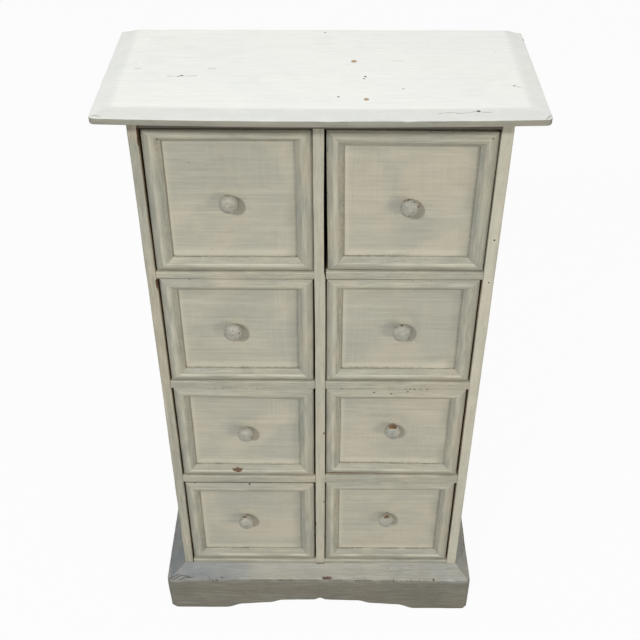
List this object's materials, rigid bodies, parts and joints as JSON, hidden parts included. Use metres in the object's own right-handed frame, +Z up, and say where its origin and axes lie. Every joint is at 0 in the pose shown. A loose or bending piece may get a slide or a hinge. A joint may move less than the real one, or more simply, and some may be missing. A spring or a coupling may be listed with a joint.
{
  "type": "drawer cabinet",
  "caption": "Tall narrow painted wooden chest of small drawers in two columns, with turned knobs, a bevelled overhanging top and a scalloped plinth; every drawer slides.",
  "frame": {"origin": "middle of the footprint on the floor, centre of the bounding box in plan", "axes": "+Z up, -Y is the front that the drawers open towards, +X to the viewer's right"},
  "size_m": [0.53, 0.249, 0.95],
  "materials": {
    "painted_wood": "worn, hand-brushed off-white paint",
    "bare_wood": "unpainted softwood",
    "steel": "dull wire nails"
  },
  "bodies": {
    "carcass": {"top_board": "painted_wood", "left_side": "painted_wood", "right_side": "painted_wood", "centre_partition": "painted_wood", "shelf_1_left": "painted_wood", "shelf_1_right": "painted_wood", "shelf_2_left": "painted_wood", "shelf_2_right": "painted_wood", "shelf_3_left": "painted_wood", "shelf_3_right": "painted_wood", "top_rail": "bare_wood", "bottom_board": "painted_wood", "back_panel": "bare_wood", "plinth_front": "painted_wood", "plinth_left": "painted_wood", "plinth_right": "painted_wood", "plinth_back": "bare_wood", "plinth_blocks": "bare_wood", "top_nails": "steel", "back_pins": "steel"},
    "drawer_1_left": {"drawer_1_left_front": "painted_wood", "drawer_1_left_moulding": "painted_wood", "drawer_1_left_box": "bare_wood", "drawer_1_left_bottom": "bare_wood", "drawer_1_left_knob": "painted_wood"},
    "drawer_1_right": {"drawer_1_right_front": "painted_wood", "drawer_1_right_moulding": "painted_wood", "drawer_1_right_box": "bare_wood", "drawer_1_right_bottom": "bare_wood", "drawer_1_right_knob": "painted_wood"},
    "drawer_2_left": {"drawer_2_left_front": "painted_wood", "drawer_2_left_moulding": "painted_wood", "drawer_2_left_box": "bare_wood", "drawer_2_left_bottom": "bare_wood", "drawer_2_left_knob": "painted_wood"},
    "drawer_2_right": {"drawer_2_right_front": "painted_wood", "drawer_2_right_moulding": "painted_wood", "drawer_2_right_box": "bare_wood", "drawer_2_right_bottom": "bare_wood", "drawer_2_right_knob": "painted_wood"},
    "drawer_3_left": {"drawer_3_left_front": "painted_wood", "drawer_3_left_moulding": "painted_wood", "drawer_3_left_box": "bare_wood", "drawer_3_left_bottom": "bare_wood", "drawer_3_left_knob": "painted_wood"},
    "drawer_3_right": {"drawer_3_right_front": "painted_wood", "drawer_3_right_moulding": "painted_wood", "drawer_3_right_box": "bare_wood", "drawer_3_right_bottom": "bare_wood", "drawer_3_right_knob": "painted_wood"},
    "drawer_4_left": {"drawer_4_left_front": "painted_wood", "drawer_4_left_moulding": "painted_wood", "drawer_4_left_box": "bare_wood", "drawer_4_left_bottom": "bare_wood", "drawer_4_left_knob": "painted_wood"},
    "drawer_4_right": {"drawer_4_right_front": "painted_wood", "drawer_4_right_moulding": "painted_wood", "drawer_4_right_box": "bare_wood", "drawer_4_right_bottom": "bare_wood", "drawer_4_right_knob": "painted_wood"}
  },
  "joints": [
    {"name": "drawer_1_left_slide", "type": "slide", "parent": "carcass", "child": "drawer_1_left", "axis": [0, -1, 0], "range_m": [0, 0.15]},
    {"name": "drawer_1_right_slide", "type": "slide", "parent": "carcass", "child": "drawer_1_right", "axis": [0, -1, 0], "range_m": [0, 0.15]},
    {"name": "drawer_2_left_slide", "type": "slide", "parent": "carcass", "child": "drawer_2_left", "axis": [0, -1, 0], "range_m": [0, 0.15]},
    {"name": "drawer_2_right_slide", "type": "slide", "parent": "carcass", "child": "drawer_2_right", "axis": [0, -1, 0], "range_m": [0, 0.15]},
    {"name": "drawer_3_left_slide", "type": "slide", "parent": "carcass", "child": "drawer_3_left", "axis": [0, -1, 0], "range_m": [0, 0.15]},
    {"name": "drawer_3_right_slide", "type": "slide", "parent": "carcass", "child": "drawer_3_right", "axis": [0, -1, 0], "range_m": [0, 0.15]},
    {"name": "drawer_4_left_slide", "type": "slide", "parent": "carcass", "child": "drawer_4_left", "axis": [0, -1, 0], "range_m": [0, 0.15]},
    {"name": "drawer_4_right_slide", "type": "slide", "parent": "carcass", "child": "drawer_4_right", "axis": [0, -1, 0], "range_m": [0, 0.15]}
  ]
}
